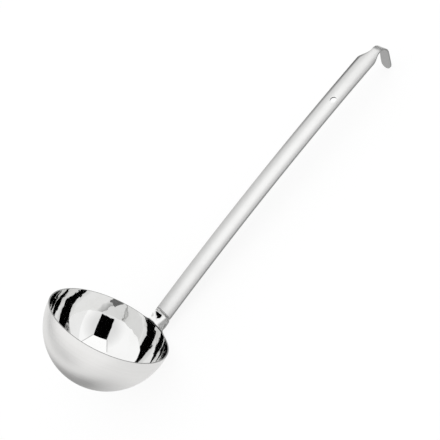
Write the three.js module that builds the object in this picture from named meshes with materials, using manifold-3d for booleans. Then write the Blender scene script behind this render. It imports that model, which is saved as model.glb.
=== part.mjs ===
// A kitchen ladle lying on a table. A pressed steel bowl has a rim that runs up into a short neck,
// stiffened by a deep hollow. A dished strip handle is butt welded to that neck, and the strip's far
// end bends back into a hook.
// Millimetres, +Z up. The ladle rests on its bowl and on the tip of its hook, handle along +X.

import * as THREE from "three";
import { mergeVertices } from "three/addons/utils/BufferGeometryUtils.js";
import Module from "manifold-3d";

// Bowl: half a sphere of sheet with a rounded edge
const bowlRadius = 60;       // outside, at the rim
const bowlWall = 1.2;

// Neck: the rim's tongue that carries the handle
const creaseHeight = 1.3;    // where the upright wall folds outward, above the rim
const neckLength = 14.5;     // from the crease to the middle of the weld
const neckSwell = 2.4;       // how much wider than the handle the neck is halfway up
const flareReach = 10;       // how far the neck's foot spreads along the rim on each side
const flareHeight = 3.4;     // how far above the rim that spread starts
const flareFall = 3;         // how fast the spread dies away, as a power of the height left
const hollowDepth = 5.4;     // the stiffening hollow pressed into the neck, at its deepest
const hollowWidth = 20;      // from side to side, where the hollow dies away
const hollowOnset = 0.8;     // how soon the hollow deepens above the crease, as a power
const hollowClose = 6;       // how late it closes again below the weld, as a power
const neckInset = 0.12;      // how far the neck's faces lie inside those of the bowl's wall

// Weld between neck and handle
const weldWidth = 1.4;
const weldProud = 0.15;      // how far the ground metal stands above the sheet
const weldGap = 0.3;         // clearance to the two edges that it joins

// Handle: a strip dished on its front face
const handleWidth = 20.4;
const handleDish = 2.3;      // depth of the dish
const handleWall = 1.5;
const handleLean = 13.25;    // degrees between the bowl's axis and the handle, at the crease
const handleBow = 2750;      // radius of the handle's gentle backward bow
const handleLength = 337.2;  // from the middle of the weld to the start of the hook
const holeDiameter = 6.8;
const holeToHook = 66.7;     // from the middle of the hanging hole to the start of the hook

// Hook: the strip narrows, loses its dish and bends back
const runOut = 16;           // length over which the strip narrows and flattens
const hookWidth = 10;
const hookRadius = 9;        // inside the bend
const hookBend = 98.7;       // degrees
const tongueLength = 22.7;   // straight part past the bend, to its tip
const tongueWidth = 12.4;    // just before the tip's rounding
const tipLength = 6.8;       // length of the rounding

// Fineness of the facets
const bowlSides = 74;        // even but not a multiple of 4, so that it rests on a flat
const bowlRings = 16;
const lipSteps = 4;
const neckAcross = 20;
const neckSteps = 14;        // stations between the crease and the neck's top edge
const handleAcross = 8;
const handleStep = 14;       // between stations along the handle
const curveSteps = 8;        // stations in each flare, run-out, bend and rounding
const holeSides = 32;

const wasm = await Module();
wasm.setup();

// A closed geometry as a solid that can be joined and cut.
function solid(geometry) {
  geometry.deleteAttribute("normal");
  geometry.deleteAttribute("uv");
  const merged = mergeVertices(geometry);
  const corners = merged.index.array;
  const triangles = [];
  for (let i = 0; i < corners.length; i += 3) {
    const [a, b, c] = corners.slice(i, i + 3);
    if (a !== b && b !== c && c !== a) triangles.push(a, b, c);
  }
  return new wasm.Manifold(new wasm.Mesh({
    numProp: 3,
    vertProperties: new Float32Array(merged.attributes.position.array),
    triVerts: new Uint32Array(triangles),
  }));
}

// A named mesh of a solid.
function piece(name, body, material) {
  const mesh = body.getMesh();
  const geometry = new THREE.BufferGeometry();
  geometry.setAttribute("position", new THREE.BufferAttribute(mesh.vertProperties, 3));
  geometry.setIndex(new THREE.BufferAttribute(mesh.triVerts, 1));
  geometry.computeVertexNormals();
  const made = new THREE.Mesh(geometry, material);
  made.name = name;
  return made;
}

// A closed skin over a row of rings. In each ring the first half of the points lies on the sheet's
// front and the second half returns along its back, so the two ends are closed by pairing them off.
function loft(rings) {
  const count = rings[0].length;
  const index = [];
  for (let ring = 0; ring + 1 < rings.length; ring += 1) {
    for (let i = 0; i < count; i += 1) {
      const a = ring * count + i;
      const b = ring * count + (i + 1) % count;
      index.push(a, b, b + count, a, b + count, a + count);
    }
  }
  const last = (rings.length - 1) * count;
  for (let i = 0; i + 1 < count / 2; i += 1) {
    const facing = count - 1 - i;
    index.push(i, facing, i + 1, i + 1, facing, facing - 1);
    index.push(last + i, last + i + 1, last + facing, last + i + 1, last + facing - 1, last + facing);
  }
  const geometry = new THREE.BufferGeometry().setFromPoints(rings.flat());
  geometry.setIndex(index);
  return solid(geometry);
}

// The strip's middle line on its front face, in the plane of symmetry. Distances start at the crease.
// Before it the sheet stands upright in the bowl's wall, and past it the line only ever turns back.
const bowlInside = bowlRadius - bowlWall;
const hookStart = neckLength + handleLength;
const bendRadius = hookRadius + handleWall;
const bendAngle = THREE.MathUtils.degToRad(hookBend);
const bendEnd = hookStart + bendRadius * bendAngle;
const tip = bendEnd + tongueLength;

// A station is a point on that line with the angle that the line leans from the bowl's axis.
function along(station, distance) {
  return {
    x: station.x + distance * Math.sin(station.lean),
    z: station.z + distance * Math.cos(station.lean),
    lean: station.lean,
  };
}

function turned(station, radius, angle) {
  const lean = station.lean + angle;
  return {
    x: station.x + radius * (Math.cos(station.lean) - Math.cos(lean)),
    z: station.z + radius * (Math.sin(lean) - Math.sin(station.lean)),
    lean,
  };
}

const foot = { x: bowlInside, z: creaseHeight, lean: 0 };
const crease = { ...foot, lean: THREE.MathUtils.degToRad(handleLean) };
const hookFoot = turned(crease, handleBow, hookStart / handleBow);
const hookTop = turned(hookFoot, bendRadius, bendAngle);

function stationAt(distance) {
  if (distance < 0) return along(foot, distance);
  if (distance < hookStart) return turned(crease, handleBow, distance / handleBow);
  if (distance < bendEnd) return turned(hookFoot, bendRadius, (distance - hookStart) / bendRadius);
  return along(hookTop, distance - bendEnd);
}

// One ring round the sheet at a station: across the front, then back across the rear.
// The front is an arc of the given curvature, dished towards the front. It is as wide as its chord
// says, and then runs on by the reach, measured along the arc, on each side. A hollow sinks its
// middle, and the dive, which is how fast the hollow deepens here, keeps the sheet's thickness.
function ringAt(distance, { width, reach = 0, curvature, hollow = 0, dive = 0, wall, rise = 0, across }) {
  const station = stationAt(distance);
  const front = [];
  const back = [];
  const edgeSlope = Math.asin(curvature * width / 2) + curvature * reach;
  for (let i = 0; i <= across; i += 1) {
    const share = 1 - 2 * i / across;
    const arcSlope = share * edgeSlope;
    const side = curvature > 0 ? Math.sin(arcSlope) / curvature : share * (width / 2 + reach);
    const dish = curvature > 0 ? (1 - Math.cos(arcSlope)) / curvature : 0;
    const turn = Math.PI * THREE.MathUtils.clamp(side / hollowWidth, -0.5, 0.5);
    const sunk = Math.cos(turn) ** 2;
    const slope = Math.atan(Math.tan(arcSlope) + hollow * Math.PI / hollowWidth * Math.sin(2 * turn));
    const thick = wall * Math.hypot(1, dive * sunk);
    for (const [row, depth] of [[front, rise], [back, rise - thick]]) {
      const y = side - depth * Math.sin(slope);
      const forward = dish - hollow * sunk + depth * Math.cos(slope);
      row.push(new THREE.Vector3(
        station.x - forward * Math.cos(station.lean),
        y,
        station.z + forward * Math.sin(station.lean),
      ));
    }
  }
  return [...front, ...back.reverse()];
}

// Distances from one place to another in equal steps, both ends included.
function steps(from, to, count) {
  return Array.from({ length: count + 1 }, (_, i) => from + (to - from) * i / count);
}

const ease = (from, to, distance) => THREE.MathUtils.smoothstep(distance, from, to);
const blend = THREE.MathUtils.lerp;
const dishCurvature = 2 * handleDish / ((handleWidth / 2) ** 2 + handleDish ** 2);

// The bowl: a revolved half sphere whose edge is rounded over the whole thickness.
const lipRadius = bowlWall / 2;
const rimLevel = -lipRadius;

function bowlShell() {
  const lipMiddle = bowlRadius - lipRadius;
  const quarter = Math.PI / 2;
  const outside = new THREE.EllipseCurve(0, rimLevel, bowlRadius, bowlRadius, -quarter, 0);
  const lip = new THREE.EllipseCurve(lipMiddle, rimLevel, lipRadius, lipRadius, 0, Math.PI);
  const inside = new THREE.EllipseCurve(0, rimLevel, bowlInside, bowlInside, 0, -quarter, true);
  const profile = [
    ...outside.getPoints(bowlRings),
    ...lip.getPoints(lipSteps).slice(1),
    ...inside.getPoints(bowlRings).slice(1),
  ];
  const revolved = new THREE.LatheGeometry(profile, bowlSides);
  revolved.rotateX(quarter);
  return solid(revolved);
}

// The neck: grows out of the rim with a flared foot, folds outward at the crease and takes on the
// handle's dish by the time it meets the weld. Its foot lies inside the bowl's wall. Between crease
// and weld a hollow is pressed into it, which deepens steadily and then closes in a short steep end.
function neck() {
  const flareFoot = rimLevel - creaseHeight;
  const flareTop = flareHeight - creaseHeight;
  const top = neckLength - weldWidth / 2 - weldGap;
  const stations = [
    flareFoot - lipRadius,
    ...steps(flareFoot, 0, curveSteps),
    ...steps(0, top, neckSteps).slice(1),
  ];
  const heightLeft = (distance) => {
    return THREE.MathUtils.clamp((flareTop - distance) / (flareTop - flareFoot), 0, 1);
  };
  const climb = (distance) => THREE.MathUtils.clamp(distance / top, 0, 1);
  const hollowShape = (share) => share ** hollowOnset * (1 - share ** hollowClose) ** 2;
  const deepest = (hollowOnset / (hollowOnset + 2 * hollowClose)) ** (1 / hollowClose);
  const hollowAt = (distance) => hollowDepth * hollowShape(climb(distance)) / hollowShape(deepest);
  const diveAt = (distance) => {
    const nearby = top / neckSteps / 2;
    return distance > 0 ? (hollowAt(distance + nearby) - hollowAt(distance - nearby)) / (2 * nearby) : 0;
  };
  const wallCurvature = 1 / (bowlInside + neckInset);
  return loft(stations.map((distance) => ringAt(distance, {
    width: handleWidth + neckSwell * Math.sin(Math.PI * climb(distance)),
    reach: flareReach * heightLeft(distance) ** flareFall,
    curvature: blend(wallCurvature, dishCurvature, ease(0, top, distance)),
    hollow: hollowAt(distance),
    dive: diveAt(distance),
    wall: bowlWall - 2 * neckInset,
    rise: -neckInset,
    across: neckAcross,
  })));
}

// The weld: a short length of the handle's own section, a little thicker than the sheet.
function weld() {
  return loft([-weldWidth / 2, weldWidth / 2].map((offset) => ringAt(neckLength + offset, {
    width: handleWidth,
    curvature: dishCurvature,
    wall: handleWall + 2 * weldProud,
    rise: weldProud,
    across: handleAcross,
  })));
}

// The handle: the dished strip, its run-out, the bend and the tongue with its round tip.
function handleStrip() {
  const start = neckLength + weldWidth / 2 + weldGap;
  const runOutStart = hookStart - runOut;
  const tipStart = tip - tipLength;
  const straightSteps = Math.ceil((runOutStart - start) / handleStep);
  const tipAngles = steps(0, Math.PI / 2, curveSteps).slice(1);
  const tipWidth = (distance) => Math.sqrt(Math.max(0, 1 - ((distance - tipStart) / tipLength) ** 2));
  const stations = [
    ...steps(start, runOutStart, straightSteps),
    ...steps(runOutStart, hookStart, curveSteps).slice(1),
    ...steps(hookStart, bendEnd, curveSteps).slice(1),
    tipStart,
    ...tipAngles.map((angle) => tipStart + tipLength * Math.sin(angle)),
  ];
  return loft(stations.map((distance) => {
    const narrowing = ease(runOutStart, hookStart, distance);
    const widening = ease(hookStart, tipStart, distance);
    const strip = blend(handleWidth, hookWidth, narrowing);
    const spread = (tongueWidth - hookWidth) * widening;
    const rounding = distance > tipStart ? tipWidth(distance) : 1;
    return ringAt(distance, {
      width: (strip + spread) * rounding,
      curvature: dishCurvature * (1 - narrowing),
      wall: handleWall,
      across: handleAcross,
    });
  }));
}

// The hanging hole's cutter, square to the handle at the hole.
function holeCutter() {
  const station = stationAt(hookStart - holeToHook);
  const radius = holeDiameter / 2;
  const pastEachFace = handleWall + handleDish;
  const cutter = new THREE.CylinderGeometry(radius, radius, 2 * pastEachFace, holeSides);
  cutter.rotateZ(Math.PI / 2);
  cutter.rotateY(station.lean);
  cutter.translate(station.x, 0, station.z);
  return solid(cutter);
}

const polished = new THREE.MeshStandardMaterial({ color: 0xd2d2d0, metalness: 1, roughness: 0.06 });
const satin = new THREE.MeshStandardMaterial({ color: 0xd6d6d4, metalness: 1, roughness: 0.35 });
const ground = new THREE.MeshStandardMaterial({ color: 0xbcbcba, metalness: 1, roughness: 0.28 });

// The ladle is modelled with the bowl's axis upright, then laid down until the table touches both
// the half sphere and the tip of the hook.
const ladle = new THREE.Group();
ladle.add(piece("bowl", bowlShell().add(neck()), polished));
ladle.add(piece("weld", weld(), ground));
ladle.add(piece("handle", handleStrip().subtract(holeCutter()), satin));

const tipStation = stationAt(tip);
const reachX = tipStation.x;
const reachZ = tipStation.z - rimLevel;
const reach = Math.hypot(reachX, reachZ);
ladle.rotation.y = Math.atan2(reachZ, reachX) + Math.asin(bowlRadius / reach);
ladle.updateMatrixWorld(true);

const box = new THREE.Box3().setFromObject(ladle, true);
ladle.position.set(-(box.min.x + box.max.x) / 2, 0, -box.min.z);

const part = new THREE.Group();
part.add(ladle);

export default part;
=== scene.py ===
import math

import bmesh
import bpy
from mathutils import Matrix, Vector


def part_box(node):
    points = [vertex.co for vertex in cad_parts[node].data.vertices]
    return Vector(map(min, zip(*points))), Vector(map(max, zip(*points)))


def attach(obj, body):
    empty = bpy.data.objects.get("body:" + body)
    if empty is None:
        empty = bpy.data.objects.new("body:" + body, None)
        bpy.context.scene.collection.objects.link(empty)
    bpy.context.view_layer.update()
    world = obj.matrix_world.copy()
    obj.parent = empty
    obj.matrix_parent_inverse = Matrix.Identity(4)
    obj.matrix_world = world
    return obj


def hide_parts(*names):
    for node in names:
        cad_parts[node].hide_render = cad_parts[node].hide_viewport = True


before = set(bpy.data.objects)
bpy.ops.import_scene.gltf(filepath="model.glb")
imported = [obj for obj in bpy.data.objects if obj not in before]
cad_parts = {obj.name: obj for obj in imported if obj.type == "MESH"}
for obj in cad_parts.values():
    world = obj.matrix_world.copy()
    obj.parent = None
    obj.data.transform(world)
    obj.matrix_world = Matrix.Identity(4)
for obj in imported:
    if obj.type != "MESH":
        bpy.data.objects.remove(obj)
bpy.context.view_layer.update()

# Bowl: half a sphere pressed from stainless sheet, whose rim runs up on one side into a short neck.
# A hollow pressed into the neck stiffens it. The inside and the neck's front are polished to a
# mirror, except in the crease at the neck's foot, which is left dull and painted dark as shade.
# The outside keeps its fine circular satin lines.
mm = 0.001
bowl_low, bowl_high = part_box("bowl")
bowl_radius = (bowl_high[1] - bowl_low[1]) / 2
bowl_wall = 1.2 * mm
bowl_edge_round = 0.45 * mm
middle_radius = bowl_radius - bowl_wall / 2
bowl_tilt = math.radians(68.4518)
bowl_sides = 384
bowl_rings = 72
touching = 0.001 * mm

# The ladle is shaped with the bowl's axis upright, then laid over on its bowl and hook.
bowl_centre = Vector((bowl_low[0] + bowl_radius, 0, bowl_radius))
lay_down = Matrix.Translation(bowl_centre) @ Matrix.Rotation(bowl_tilt, 4, "Y")

crease_height = 1.9 * mm
neck_length = 14.5 * mm
weld_width = 1.4 * mm
strip_width = 20.4 * mm
strip_dish = 2.3 * mm
strip_lean = math.radians(13.25)
strip_bow = 2750 * mm
strip_curvature = 2 * strip_dish / ((strip_width / 2) ** 2 + strip_dish ** 2)


def eased(start, end, place):
    """A share that goes smoothly from 0 at the start to 1 at the end."""
    share = min(1, max(0, (place - start) / (end - start)))
    return share * share * (3 - 2 * share)


def turned(station, radius, angle):
    """The station at the end of an arc: its x, its z and how far the sheet leans there."""
    x, z, lean = station
    new_lean = lean + angle
    x += radius * (math.cos(lean) - math.cos(new_lean))
    z += radius * (math.sin(new_lean) - math.sin(lean))
    return x, z, new_lean


def across(station, share, half_width, curvature, reach=0, forward=0):
    """A point of the sheet at a station of its middle line, at a share of the way to its edge."""
    x, z, lean = station
    nearly_flat = 0.001
    if curvature * half_width > nearly_flat:
        slope = share * (math.asin(curvature * half_width) + curvature * reach)
        side = math.sin(slope) / curvature
        dish = (1 - math.cos(slope)) / curvature
    else:
        slope = 0
        side = share * (half_width + reach)
        dish = 0
    side -= forward * math.sin(slope)
    dish += forward * math.cos(slope)
    return Vector((x - dish * math.cos(lean), side, z + dish * math.sin(lean)))


def only(kind, parts):
    return [part for part in parts if isinstance(part, kind)]


def face_toward(sheet, way):
    """Turns the faces of a sheet over if its lowest one looks away from where it should."""
    sheet.normal_update()
    lowest = min(sheet.faces, key=lambda face: face.calc_center_median().z)
    if lowest.normal.dot(way) < 0:
        bmesh.ops.reverse_faces(sheet, faces=sheet.faces)


def as_object(name, sheet, materials):
    """The finished sheet as an object of the scene."""
    mesh = bpy.data.meshes.new(name)
    sheet.to_mesh(mesh)
    sheet.free()
    for material in materials:
        mesh.materials.append(material)
    thing = bpy.data.objects.new(name, mesh)
    bpy.context.collection.objects.link(thing)
    return thing


def as_piece(name, sheet, node, materials):
    """The finished sheet as a piece in the ladle's place, standing for its CAD node."""
    bmesh.ops.transform(sheet, matrix=lay_down, verts=sheet.verts)
    piece = as_object(name, sheet, materials)
    faces = piece.data.polygons
    faces.foreach_set("use_smooth", [True] * len(faces))
    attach(piece, "root")
    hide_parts(node)
    return piece


def give_thickness(piece, thickness, offset, edge_round, back_slot=0, edge_slot=0):
    """Sheet metal of one thickness with its cut edges rounded."""
    solid = piece.modifiers.new("sheet", "SOLIDIFY")
    solid.thickness = thickness
    solid.offset = offset
    solid.use_even_offset = True
    solid.material_offset = back_slot
    solid.material_offset_rim = edge_slot
    rounding = piece.modifiers.new("edge", "BEVEL")
    rounding.limit_method = "ANGLE"
    rounding.angle_limit = math.radians(50)
    rounding.width = edge_round
    rounding.segments = 3
    rounding.profile = 0.5
    rounding.harden_normals = True


bowl = bmesh.new()
pole = bowl.verts.new((0, 0, -middle_radius))
bmesh.ops.spin(
    bowl, geom=[pole], cent=(0, 0, 0), axis=(0, -1, 0), angle=math.pi / 2, steps=bowl_rings,
)
bmesh.ops.spin(
    bowl, geom=bowl.verts[:] + bowl.edges[:], cent=(0, 0, 0), axis=(0, 0, 1), angle=2 * math.pi,
    steps=bowl_sides, use_merge=True,
)
bmesh.ops.remove_doubles(bowl, verts=bowl.verts, dist=touching)

# The cut edge stands half a thickness above the half sphere.
rim_edges = [edge for edge in bowl.edges if edge.is_boundary]
raised = bmesh.ops.extrude_edge_only(bowl, edges=rim_edges)["geom"]
bmesh.ops.translate(bowl, verts=only(bmesh.types.BMVert, raised), vec=(0, 0, bowl_wall / 2))

# The neck is drawn up out of the rim row by row. It spreads a little at its foot, folds outward at
# the crease, swells halfway up, and sinks in the middle where the hollow is pressed.
flare_columns = 21
column_angle = 2 * math.pi / bowl_sides
flare_reach = flare_columns * column_angle * middle_radius - strip_width / 2
flare_height = 4 * mm
flare_fall = 3
fold = 1 * mm
row_step = 0.25 * mm
neck_top = neck_length - weld_width / 2
neck_swell = 1.2 * mm

# The hollow is a softened wedge. It sinks from the crease at a slope that eases off with its depth,
# its flanks climb on both sides of a rounded middle, and it closes just below the weld.
hollow_depth = 6.2 * mm
hollow_rise = 0.55
hollow_ease = 1.3
hollow_flank = 0.6
hollow_round = 2 * mm
hollow_soft = 1 * mm
hollow_close = 16


def softened(depth):
    """The depth where it is positive, and next to nothing elsewhere, with a rounded change."""
    return (depth + math.hypot(depth, hollow_soft)) / 2


# A tenth of a column more takes in the edges at both ends of the neck's foot.
foot_angle = (flare_columns + 0.1) * column_angle
row = [
    edge for edge in bowl.edges
    if edge.is_boundary and all(abs(math.atan2(v.co.y, v.co.x)) < foot_angle for v in edge.verts)
]
x, z, distance = middle_radius, bowl_wall / 2, bowl_wall / 2 - crease_height
rim_dish = strip_width ** 2 / 8 / middle_radius
while distance < neck_top - row_step / 2:
    distance += row_step
    lean = strip_lean * eased(-fold / 2, fold / 2, distance)
    x += row_step * math.sin(lean)
    z += row_step * math.cos(lean)
    climb = min(1, max(0, distance / neck_top))
    half_width = strip_width / 2 + neck_swell * math.sin(math.pi * climb)
    dish = rim_dish + (strip_dish - rim_dish) * eased(0, neck_top, distance)
    curvature = 2 * dish / (half_width ** 2 + dish ** 2)
    reach = flare_reach * max(0, 1 - z / flare_height) ** flare_fall
    sinking = min(1, hollow_rise * max(0, distance) / hollow_depth)
    hollow = hollow_depth * (1 - (1 - sinking) ** hollow_ease) * (1 - climb ** hollow_close) ** 2
    grown = bmesh.ops.extrude_edge_only(bowl, edges=row)["geom"]
    row = only(bmesh.types.BMEdge, grown)
    verts = sorted(only(bmesh.types.BMVert, grown), key=lambda v: v.co.y)
    for number, vert in enumerate(verts):
        vert.co = across((x, z, lean), number / flare_columns - 1, half_width, curvature, reach)
        flank = hollow_flank * (math.hypot(vert.co.y, hollow_round) - hollow_round)
        sunk = softened(hollow - flank) - softened(-flank)
        vert.co += sunk * Vector((math.cos(lean), 0, -math.sin(lean)))


def add_node(tree, kind, inputs=None, **settings):
    """A node with its settings, and with values or links on its inputs."""
    node = tree.nodes.new(kind)
    for name, value in settings.items():
        setattr(node, name, value)
    for name, value in (inputs or {}).items():
        if isinstance(value, bpy.types.NodeSocket):
            tree.links.new(value, node.inputs[name])
        else:
            node.inputs[name].default_value = value
    return node


def maths(tree, operation, *values):
    return add_node(tree, "ShaderNodeMath", dict(enumerate(values)), operation=operation).outputs[0]


def vector_maths(tree, operation, *vectors):
    """The outputs of a vector node: Vector, or Value where a number comes out."""
    return add_node(tree, "ShaderNodeVectorMath", dict(enumerate(vectors)), operation=operation).outputs


def split(tree, vector):
    return add_node(tree, "ShaderNodeSeparateXYZ", {0: vector}).outputs


def ranged(tree, value, low, high, new_low, new_high):
    """The value carried over from one range to another, and held at its ends."""
    limits = {"Value": value, 1: low, 2: high, 3: new_low, 4: new_high}
    return add_node(tree, "ShaderNodeMapRange", limits).outputs[0]


def noise(tree, vector, scale, detail=2, roughness=0.5):
    values = {"Vector": vector, "Scale": scale, "Detail": detail, "Roughness": roughness}
    return add_node(tree, "ShaderNodeTexNoise", values).outputs[0]


def stretched(tree, vector, scale):
    return add_node(tree, "ShaderNodeMapping", {"Vector": vector, "Scale": scale}).outputs[0]


def effect(name, outputs):
    """A node group that turns a place in metres into heights or shares."""
    tree = bpy.data.node_groups.new(name, "ShaderNodeTree")
    tree.interface.new_socket("Place", in_out="INPUT", socket_type="NodeSocketVector")
    for output in outputs:
        tree.interface.new_socket(output, in_out="OUTPUT", socket_type="NodeSocketFloat")
    place = tree.nodes.new("NodeGroupInput").outputs["Place"]
    return tree, place, tree.nodes.new("NodeGroupOutput")


def apply_effect(tree, group, place):
    node = add_node(tree, "ShaderNodeGroup", node_tree=group)
    tree.links.new(place, node.inputs["Place"])
    return node.outputs


def new_metal(name):
    """A metal, its node tree, its shader and the place on the piece in metres."""
    material = bpy.data.materials.new(name)
    material.use_nodes = True
    tree = material.node_tree
    shader = tree.nodes["Principled BSDF"]
    shader.inputs["Metallic"].default_value = 1
    return material, tree, shader, add_node(tree, "ShaderNodeTexCoord").outputs["Object"]


def blended(tree, share, under, over):
    """One colour laid over another, by a share from 0 to 1."""
    colours = {0: share, 6: under, 7: over}
    return add_node(tree, "ShaderNodeMix", colours, data_type="RGBA").outputs[2]


def tint(tree, share, low, high):
    """A colour between two fixed ones, by a share from 0 to 1."""
    return blended(tree, share, (*low, 1), (*high, 1))


def surface(tree, shader, colour, roughness, height=None, depth=0):
    """Gives a metal its colour and roughness, and bumps of some depth if it has any."""
    tree.links.new(colour, shader.inputs["Base Color"])
    tree.links.new(roughness, shader.inputs["Roughness"])
    if height is not None:
        bumps = add_node(tree, "ShaderNodeBump", {"Height": height, "Distance": depth}).outputs[0]
        tree.links.new(bumps, shader.inputs["Normal"])


def in_bowl_frame(tree, place):
    """The place with the bowl's axis upright and its centre at the origin."""
    values = {"Vector": place, "Location": bowl_centre, "Rotation": (0, bowl_tilt, 0)}
    return add_node(tree, "ShaderNodeMapping", values, vector_type="TEXTURE").outputs[0]


# Waves that hand polishing leaves in a mirror: long and shallow, with a few shorter ones.
polish_waves, place, out = effect("polish_waves", ["Height"])
long_waves = noise(polish_waves, place, 130, 1)
short_waves = noise(polish_waves, place, 330, 1)
waves = maths(polish_waves, "MULTIPLY_ADD", short_waves, 0.1, long_waves)
polish_waves.links.new(waves, out.inputs["Height"])

# Marks of use: faint smudges, and hairline scratches where a noise crosses its middle value.
use_marks, place, out = effect("use_marks", ["Smudge", "Scratch"])
smudge = ranged(use_marks, noise(use_marks, place, 38, 3, 0.6), 0.48, 0.72, 0, 1)
use_marks.links.new(smudge, out.inputs["Smudge"])
wander = noise(use_marks, stretched(use_marks, place, (60, 150, 90)), 1, 1)
off_middle = maths(use_marks, "ABSOLUTE", maths(use_marks, "SUBTRACT", wander, 0.5))
hairline = ranged(use_marks, off_middle, 0.0008, 0.0022, 1, 0)
broken = ranged(use_marks, noise(use_marks, place, 90, 1), 0.5, 0.62, 0, 1)
use_marks.links.new(maths(use_marks, "MULTIPLY", hairline, broken), out.inputs["Scratch"])

# Brushing: fine lines across the first axis of the place, which run along the other two.
brush_lines, place, out = effect("brush_lines", ["Height", "Tone"])
fine = noise(brush_lines, stretched(brush_lines, place, (5200, 45, 45)), 1, 2, 0.6)
broad = noise(brush_lines, stretched(brush_lines, place, (900, 9, 9)), 1, 2, 0.6)
brush_lines.links.new(maths(brush_lines, "MULTIPLY_ADD", broad, 0.6, fine), out.inputs["Height"])
brush_lines.links.new(ranged(brush_lines, broad, 0.3, 0.7, 0, 1), out.inputs["Tone"])

# The polished front is smoothest deep in the bowl and waviest on the neck. Its crease is left dull
# and painted dark as shade.
wave_depth = 0.16 * mm
crease_shade_start = 0.7 * mm
crease_shade_full = 1 * mm
crease_shade_end = 2.4 * mm
neck_foot = 3 * mm
steel, tree, shader, place = new_metal("polished_steel")
marks = apply_effect(tree, use_marks, place)
waves = apply_effect(tree, polish_waves, place)["Height"]
in_bowl = split(tree, in_bowl_frame(tree, place))
height = in_bowl["Z"]
waves = maths(tree, "MULTIPLY", waves, ranged(tree, height, -32 * mm, -10 * mm, 0.03, 1))
waves = maths(tree, "MULTIPLY", waves, ranged(tree, height, crease_shade_full, neck_foot, 1, 4))
above_rim = ranged(tree, height, crease_shade_start, crease_shade_full, 0, 1)
below_neck = ranged(tree, height, crease_height, crease_shade_end, 1, 0)
dull_and_painted_shade = maths(tree, "MULTIPLY", above_rim, below_neck)
colour = tint(tree, marks["Smudge"], (0.83, 0.83, 0.825), (0.8, 0.8, 0.792))
# Painted shade: the crease band is coloured near black, and is rougher as well.
colour = blended(tree, dull_and_painted_shade, colour, (0.1, 0.1, 0.1, 1))
roughness = maths(tree, "MULTIPLY_ADD", marks["Smudge"], 0.025, 0.03)
roughness = maths(tree, "MULTIPLY_ADD", dull_and_painted_shade, 0.25, roughness)

# Darker grey rings lie on one side of the neck, which is rougher there.
ring_middle = Vector((-0.1267, -0.0105, 0.0095))
ring_scale = 180
on_neck = ranged(tree, height, crease_shade_end, neck_foot, 0, 1)
one_side = ranged(tree, in_bowl["Y"], -2.5 * mm, 0.5 * mm, 1, 0)
ringed_side = maths(tree, "MULTIPLY", on_neck, one_side)
from_rings = vector_maths(tree, "SUBTRACT", place, ring_middle)["Vector"]
rings = add_node(
    tree, "ShaderNodeTexWave", {"Vector": from_rings, "Scale": ring_scale, "Distortion": 2, "Detail": 1},
    wave_type="RINGS", rings_direction="SPHERICAL",
).outputs["Fac"]
ringed = tint(tree, rings, (0.28, 0.28, 0.278), (0.5, 0.5, 0.497))
colour = blended(tree, ringed_side, colour, ringed)
roughness = maths(tree, "MULTIPLY_ADD", ringed_side, 0.2, roughness)
roughness = maths(tree, "MULTIPLY_ADD", marks["Scratch"], 0.12, roughness)
surface(tree, shader, colour, roughness, waves, wave_depth)

# The satin lines of the outside run round the bowl's axis.
satin_depth = 0.0025 * mm
satin, tree, shader, place = new_metal("satin_outside")
in_bowl = in_bowl_frame(tree, place)
outward = split(tree, vector_maths(tree, "NORMALIZE", in_bowl)["Vector"])
from_pole = maths(tree, "MULTIPLY", maths(tree, "ARCCOSINE", outward["Z"]), bowl_radius)
sideways = split(tree, in_bowl)
around = {"X": from_pole, "Y": sideways["X"], "Z": sideways["Y"]}
lines = apply_effect(tree, brush_lines, add_node(tree, "ShaderNodeCombineXYZ", around).outputs[0])
marks = apply_effect(tree, use_marks, place)
colour = tint(tree, lines["Tone"], (0.735, 0.729, 0.719), (0.771, 0.767, 0.758))
roughness = maths(tree, "MULTIPLY_ADD", lines["Tone"], 0.05, 0.29)
roughness = maths(tree, "MULTIPLY_ADD", marks["Smudge"], 0.05, roughness)
surface(tree, shader, colour, roughness, lines["Height"], satin_depth)

# The cut edge all round is ground and left dull.
rim, tree, shader, place = new_metal("rim_edge")
colour = tint(tree, noise(tree, place, 700, 3), (0.26, 0.26, 0.26), (0.38, 0.38, 0.375))
surface(tree, shader, colour, ranged(tree, noise(tree, place, 350, 2), 0.3, 0.7, 0.3, 0.42))

face_toward(bowl, Vector((0, 0, 1)))
bowl_piece = as_piece("bowl_and_neck", bowl, "bowl", [steel, satin, rim])
give_thickness(bowl_piece, bowl_wall, 0, bowl_edge_round, back_slot=1, edge_slot=2)

# Handle: one long strip of satin steel, dished on its front, with a hole to hang it by.
# Near its end the strip narrows, loses its dish and is bent back into a hook with a round tongue.
# It is brushed along its length. Its middle is painted brighter as a highlight, and one edge dark as
# shade.
handle_length = 337.2 * mm
handle_wall = 1.5 * mm
handle_edge_round = 0.3 * mm
hole_radius = 3.4 * mm
hole_to_hook = 66.7 * mm
run_out = 16 * mm
hook_width = 10 * mm
hook_radius = 9 * mm + handle_wall
hook_bend = math.radians(98.7)
tongue_length = 22.7 * mm
tongue_width = 12.4 * mm
tip_length = 6.8 * mm

crease = (bowl_radius - bowl_wall, crease_height, strip_lean)
hook_start = neck_length + handle_length
bend_end = hook_start + hook_radius * hook_bend
tip_start = bend_end + tongue_length - tip_length
hook_foot = turned(crease, strip_bow, hook_start / strip_bow)
hook_top = turned(hook_foot, hook_radius, hook_bend)


def station_at(distance):
    """The station of the strip's middle line at a distance from the crease."""
    if distance < hook_start:
        return turned(crease, strip_bow, distance / strip_bow)
    if distance < bend_end:
        return turned(hook_foot, hook_radius, (distance - hook_start) / hook_radius)
    x, z, lean = hook_top
    further = distance - bend_end
    return x + further * math.sin(lean), z + further * math.cos(lean), lean


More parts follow.
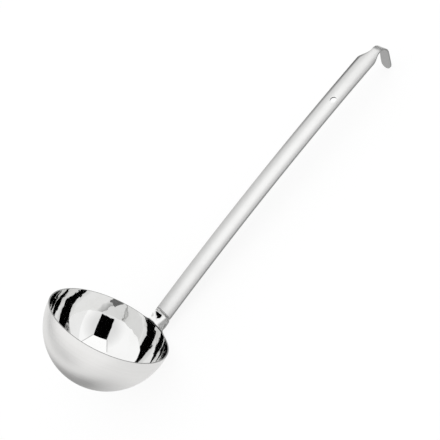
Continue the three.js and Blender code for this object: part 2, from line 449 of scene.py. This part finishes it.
def pressed(distance, share):
    """Where a point of the flat blank comes to lie on the front of the finished strip."""
    narrowing = eased(hook_start - run_out, hook_start, distance)
    widening = eased(hook_start, tip_start, distance)
    width = strip_width + (hook_width - strip_width) * narrowing + (tongue_width - hook_width) * widening
    if distance > tip_start:
        distance = tip_start + (distance - tip_start) * math.sqrt(max(0, 1 - share * share))
    return across(station_at(distance), share, width / 2, strip_curvature * (1 - narrowing))


blank_step = 0.8 * mm
blank_columns = 32
strip_start = neck_length + weld_width / 2
strip_end = tip_start + tip_length
hole_place = hook_start - hole_to_hook
rows_before = round((hole_place - strip_start) / blank_step)
rows_after = round((strip_end - hole_place) / blank_step)

handle = bmesh.new()
bmesh.ops.create_grid(
    handle, x_segments=rows_before + rows_after, y_segments=blank_columns, size=0.5,
)
for vert in handle.verts:
    row_number = round((vert.co.x + 0.5) * (rows_before + rows_after))
    if row_number <= rows_before:
        vert.co.x = strip_start + (hole_place - strip_start) * row_number / rows_before
    else:
        vert.co.x = hole_place + (strip_end - hole_place) * (row_number - rows_before) / rows_after
    vert.co.y *= strip_width

# The hole: a square of the blank is taken out, and the squares round it ease into a circle.
patch = 4
patch_end = 8
column = strip_width / blank_columns
hole_middle = Vector((hole_place, 0, 0))


def squares_off(point):
    """How many squares of the blank a point lies from the hole's middle, the long way."""
    return max(abs(point.x - hole_place) / blank_step, abs(point.y) / column)


gone = [face for face in handle.faces if squares_off(face.calc_center_median()) < patch]
bmesh.ops.delete(handle, geom=gone, context="FACES")
for vert in handle.verts:
    squares = squares_off(vert.co)
    if squares < patch_end - 0.5:
        from_middle = vert.co - hole_middle
        share = (squares - patch) / (patch_end - patch)
        on_circle = from_middle.normalized() * (hole_radius + share * patch * column)
        vert.co = hole_middle + on_circle.lerp(from_middle, max(0, share))

# The places on the flat blank stay with the strip, in metres, so the brushing follows its bends.
strip_map = handle.loops.layers.uv.new("strip")
for face in handle.faces:
    for loop in face.loops:
        loop[strip_map].uv = (loop.vert.co.y, loop.vert.co.x)
for vert in handle.verts:
    vert.co = pressed(vert.co.x, vert.co.y / (strip_width / 2))
face_toward(handle, Vector((-1, 0, 0)))

brush_depth = 0.005 * mm
painted_sheen_half = 3 * mm
edge_shade_start = 7.6 * mm
edge_shade_full = 9.4 * mm
brushed, tree, shader, place = new_metal("brushed_strip")
on_strip = add_node(tree, "ShaderNodeUVMap", uv_map="strip").outputs[0]
lines = apply_effect(tree, brush_lines, on_strip)
marks = apply_effect(tree, use_marks, place)
parts = split(tree, on_strip)
side = parts["X"]
along = parts["Y"]
# Painted highlight: the strip's middle is coloured brighter and its edges darker, with the brushing's
# tone added.
painted_sheen_and_tone = ranged(tree, maths(tree, "ABSOLUTE", side), painted_sheen_half, strip_width / 2, 0.85, 0)
painted_sheen_and_tone = maths(tree, "MULTIPLY_ADD", lines["Tone"], 0.15, painted_sheen_and_tone)
colour = tint(tree, painted_sheen_and_tone, (0.49, 0.49, 0.485), (0.64, 0.64, 0.635))
# Painted shade: one edge is coloured near black over the strip's upper half, fading out at the hook.
painted_edge_shade = ranged(tree, side, edge_shade_start, edge_shade_full, 0, 1)
painted_edge_shade = maths(tree, "MULTIPLY", painted_edge_shade, ranged(tree, along, hook_start / 2, hook_start, 0, 1))
painted_edge_shade = maths(tree, "MULTIPLY", painted_edge_shade, ranged(tree, along, hook_start - run_out, hook_start, 1, 0))
colour = blended(tree, painted_edge_shade, colour, (0.06, 0.06, 0.06, 1))
roughness = maths(tree, "MULTIPLY_ADD", lines["Tone"], 0.05, 0.4)
roughness = maths(tree, "MULTIPLY_ADD", marks["Smudge"], 0.04, roughness)
surface(tree, shader, colour, roughness, lines["Height"], brush_depth)
shader.inputs["Anisotropic"].default_value = 0.3
side_line = add_node(tree, "ShaderNodeTangent", direction_type="UV_MAP", uv_map="strip").outputs[0]
tree.links.new(side_line, shader.inputs["Tangent"])

# The back is brushed more evenly, and painted less bright than the front as shade.
back_shade, tree, shader, place = new_metal("back_painted_shade")
on_strip = add_node(tree, "ShaderNodeUVMap", uv_map="strip").outputs[0]
lines = apply_effect(tree, brush_lines, on_strip)
# Painted shade: the back is coloured darker than the front.
colour = tint(tree, lines["Tone"], (0.36, 0.36, 0.357), (0.43, 0.43, 0.426))
roughness = maths(tree, "MULTIPLY_ADD", lines["Tone"], 0.06, 0.36)
surface(tree, shader, colour, roughness, lines["Height"], brush_depth)

# The sheared edges are duller than the brushed faces and painted dark as shade.
# The wall of the hole is painted darker still, as shade in the hole.
hole_shade_full = 4.5 * mm
hole_shade_end = 5.5 * mm
sheared_and_shaded, tree, shader, place = new_metal("sheared_edge_shade")
# Painted shade: the cut edges are coloured dark grey.
colour = tint(tree, noise(tree, place, 900, 3), (0.22, 0.22, 0.22), (0.34, 0.34, 0.335))
off_hole = vector_maths(tree, "DISTANCE", place, lay_down @ pressed(hole_place, 0))["Value"]
# Painted shade: the wall of the hole is coloured near black.
hole_shade = ranged(tree, off_hole, hole_shade_full, hole_shade_end, 1, 0)
colour = blended(tree, hole_shade, colour, (0.02, 0.02, 0.02, 1))
surface(tree, shader, colour, ranged(tree, noise(tree, place, 350, 2), 0.3, 0.7, 0.35, 0.5))

handle_piece = as_piece("handle_strip", handle, "handle", [brushed, sheared_and_shaded, back_shade])
give_thickness(handle_piece, handle_wall, -1, handle_edge_round, back_slot=2, edge_slot=1)

# Weld: the steel bead that joins the neck to the handle, ground almost flush with both.
# The grinding leaves it duller and darker than the sheet on either side.
weld_proud = 0.1 * mm
weld_edge_round = 0.2 * mm
weld_rows = 4
weld = bmesh.new()
bmesh.ops.create_grid(weld, x_segments=weld_rows, y_segments=blank_columns, size=0.5)
for vert in weld.verts:
    vert.co = across(
        station_at(neck_length + vert.co.x * weld_width), vert.co.y * 2, strip_width / 2, strip_curvature,
        forward=weld_proud,
    )
face_toward(weld, Vector((-1, 0, 0)))

ground_depth = 0.01 * mm
ground, tree, shader, place = new_metal("ground_weld")
across_bead = stretched(tree, place, (0.2, 1, 1))
lines = apply_effect(tree, brush_lines, across_bead)
colour = tint(tree, noise(tree, place, 700, 3), (0.2, 0.2, 0.2), (0.42, 0.42, 0.415))
roughness = maths(tree, "MULTIPLY_ADD", lines["Tone"], 0.15, 0.25)
surface(tree, shader, colour, roughness, lines["Height"], ground_depth)

weld_piece = as_piece("weld_bead", weld, "weld", [ground])
give_thickness(weld_piece, handle_wall + 2 * weld_proud, -1, weld_edge_round)

# Studio: a white table in a white tent, with one dark window beside the camera and a dimmer hem
# across from it. The camera sees the table as white paper with a faint shadow. The window and a
# painted shadow on the table show only in the steel.
def board(name, corners, material):
    """A flat panel that only the steel shows."""
    panel = bmesh.new()
    panel.faces.new([panel.verts.new(corner) for corner in corners])
    sheet = as_object(name, panel, [material])
    sheet.visible_camera = False
    sheet.visible_diffuse = False
    sheet.visible_shadow = False


def matte(name):
    """A material without gloss, and its shader."""
    material = bpy.data.materials.new(name)
    material.use_nodes = True
    shader = material.node_tree.nodes["Principled BSDF"]
    shader.inputs["Roughness"].default_value = 1
    shader.inputs["Specular IOR Level"].default_value = 0
    return material, shader


def dull_grey(name, grey):
    material, shader = matte(name)
    shader.inputs["Base Color"].default_value = (grey, grey, grey, 1)
    return material


def lit_cloth(name, strength):
    """Cloth of the tent with light behind it."""
    material = bpy.data.materials.new(name)
    material.use_nodes = True
    tree = material.node_tree
    glow = add_node(tree, "ShaderNodeEmission", {"Strength": strength}).outputs[0]
    tree.links.new(glow, tree.nodes["Material Output"].inputs["Surface"])
    return material


def shown_where(material, share):
    """Makes a material clear, except for the rays that the share picks out."""
    tree = material.node_tree
    solid = tree.nodes["Principled BSDF"].outputs[0]
    clear = add_node(tree, "ShaderNodeBsdfTransparent").outputs[0]
    mixed = add_node(tree, "ShaderNodeMixShader", {0: share, 1: clear, 2: solid}).outputs[0]
    tree.links.new(mixed, tree.nodes["Material Output"].inputs["Surface"])


# The table glows by itself for the camera and for the steel, and is lit only a little besides.
seen_glow = 0.84
mirrored_glow = 0.82
table_grey = 0.16
table_reach = 6
# Painted shadow: a spot of the table beside the bowl is darker for every ray but the camera's.
painted_shadow_spot = Vector((-0.335, 0.025, 0))
spot_start = 0.06
spot_end = 0.16
spot_light = 0.38
paper, shader = matte("white_table")
shader.inputs["Emission Color"].default_value = (1, 1, 1, 1)
tree = paper.node_tree
place = add_node(tree, "ShaderNodeTexCoord").outputs["Object"]
away = vector_maths(tree, "DISTANCE", place, painted_shadow_spot)["Value"]
bright = ranged(tree, away, spot_start, spot_end, spot_light, 1)
rays = add_node(tree, "ShaderNodeLightPath").outputs
mirrored = maths(tree, "MAXIMUM", rays["Is Glossy Ray"], rays["Is Transmission Ray"])
mirrored = maths(tree, "MULTIPLY", mirrored, maths(tree, "MULTIPLY", bright, mirrored_glow))
glow = maths(tree, "MULTIPLY_ADD", rays["Is Camera Ray"], seen_glow, mirrored)
tree.links.new(glow, shader.inputs["Emission Strength"])
white = maths(tree, "MULTIPLY", maths(tree, "MAXIMUM", rays["Is Camera Ray"], bright), table_grey)
grey = {"Red": white, "Green": white, "Blue": white}
tree.links.new(add_node(tree, "ShaderNodeCombineColor", grey).outputs[0], shader.inputs["Base Color"])
floor = bmesh.new()
bmesh.ops.create_grid(floor, x_segments=1, y_segments=1, size=table_reach)
table = as_object("table", floor, [paper])

window_middle = Vector((0.069, -0.467, 0.528))
window_way = (window_middle - bowl_centre).normalized()
window_level = window_way.cross((0, 0, 1)).normalized()
window_upward = window_level.cross(window_way)


def tent_board(name, corners, material, further=1):
    """A panel in the window's plane or further out, by its corners' distances from the middle."""
    points = [window_middle + level * window_level + upward * window_upward for level, upward in corners]
    board(name, [further * point for point in points], material)


window = ((-0.28, -0.175), (0.28, -0.175), (0.28, 0.175), (-0.28, 0.175))
tent_board("window", window, dull_grey("dark_window", 0.002))

# Beside the window hangs a brighter panel of the tent, sewn to its neighbours along two seams.
cloth = ((-0.28, -0.175), (-0.28, 0.175), (-0.74, 0.335), (-0.74, -0.53))
low_seam = ((-0.28, -0.175), (-0.74, -0.53), (-0.725, -0.549), (-0.265, -0.194))
high_seam = ((-0.28, 0.175), (-0.272, 0.198), (-0.732, 0.358), (-0.74, 0.335))
tent_board("tent_panel", cloth, lit_cloth("bright_cloth", 1.19))
seam_cloth = lit_cloth("seam_cloth", 0.65)
tent_board("tent_seam.001", low_seam, seam_cloth)
tent_board("tent_seam.002", high_seam, seam_cloth)

# Round the window the tent is dim. That shows only where the bowl mirrors it twice or more.
margin = dull_grey("dim_margin", 0.004)
mirrorings = add_node(margin.node_tree, "ShaderNodeLightPath").outputs["Ray Depth"]
shown_where(margin, maths(margin.node_tree, "GREATER_THAN", mirrorings, 1.5))
around_window = ((-0.29, -0.3), (0.29, -0.3), (0.29, 0.3), (-0.29, 0.3))
tent_board("window_margin", around_window, margin, further=1.01)

# The far end of the tent is open, and what lies beyond is dim.
far_end = ((0.8645, -0.0373, 0), (0.6435, 0.6373, 0), (0.6435, 0.6373, 0.44), (0.8645, -0.0373, 0.44))
board("far_end", far_end, dull_grey("dim_end", 0.3))


def aimed(place, aim):
    """Where a lamp or a camera stands, and how it is turned to look at its aim."""
    turn = (aim - place).to_track_quat("-Z", "Y").to_matrix().to_4x4()
    return Matrix.Translation(place) @ turn


# A soft lamp across from the camera is flagged off the bowl, so only the strip and its weld get it.
lamp_place = Vector((0.05, 0.62, 0.85))
lamp_aim = Vector((0.05, 0, 0.02))
lamp = bpy.data.lights.new("soft_lamp", "AREA")
lamp.shape = "RECTANGLE"
lamp.size = 1.3
lamp.size_y = 0.7
lamp.energy = 1.8
soft_lamp = bpy.data.objects.new("soft_lamp", lamp)
bpy.context.collection.objects.link(soft_lamp)
soft_lamp.matrix_world = aimed(lamp_place, lamp_aim)
lit_by_lamp = bpy.data.collections.new("lit_by_soft_lamp")
lit_by_lamp.objects.link(handle_piece)
lit_by_lamp.objects.link(weld_piece)
soft_lamp.light_linking.receiver_collection = lit_by_lamp

# The tent's light falls off at its far hem, and round the window.
tent_light = 1.12
hem_loss = 0.6
window_loss = 0.25
world = bpy.data.worlds.new("white_tent")
bpy.context.scene.world = world
world.use_nodes = True
tree = world.node_tree
towards = add_node(tree, "ShaderNodeTexCoord").outputs["Generated"]
parts = split(tree, towards)
far_side = ranged(tree, parts["Y"], -0.35, 0.15, 0, 1)
hem = ranged(tree, parts["Z"], 0.02, 0.42, hem_loss, 0)
lit = maths(tree, "SUBTRACT", tent_light, maths(tree, "MULTIPLY", hem, far_side))
facing = vector_maths(tree, "DOT_PRODUCT", towards, window_way)["Value"]
lit = maths(tree, "SUBTRACT", lit, ranged(tree, facing, 0.75, 0.94, 0, window_loss))
sky = tree.nodes["Background"]
sky.inputs["Color"].default_value = (1, 1, 1, 1)
tree.links.new(lit, sky.inputs["Strength"])

camera_place = Vector((-0.0781, -0.3871, 0.5308))
camera_aim = Vector((-0.01972, 0.00868, 0.02955))
camera_roll = math.radians(41.87)
lens = bpy.data.cameras.new("camera")
lens.sensor_width = 36
lens.lens = 53.2
camera = bpy.data.objects.new("camera", lens)
bpy.context.collection.objects.link(camera)
camera.matrix_world = aimed(camera_place, camera_aim) @ Matrix.Rotation(-camera_roll, 4, "Z")
lens.clip_start = 0.01
lens.clip_end = 100
bpy.context.scene.camera = camera
bpy.context.scene.view_settings.view_transform = "Standard"
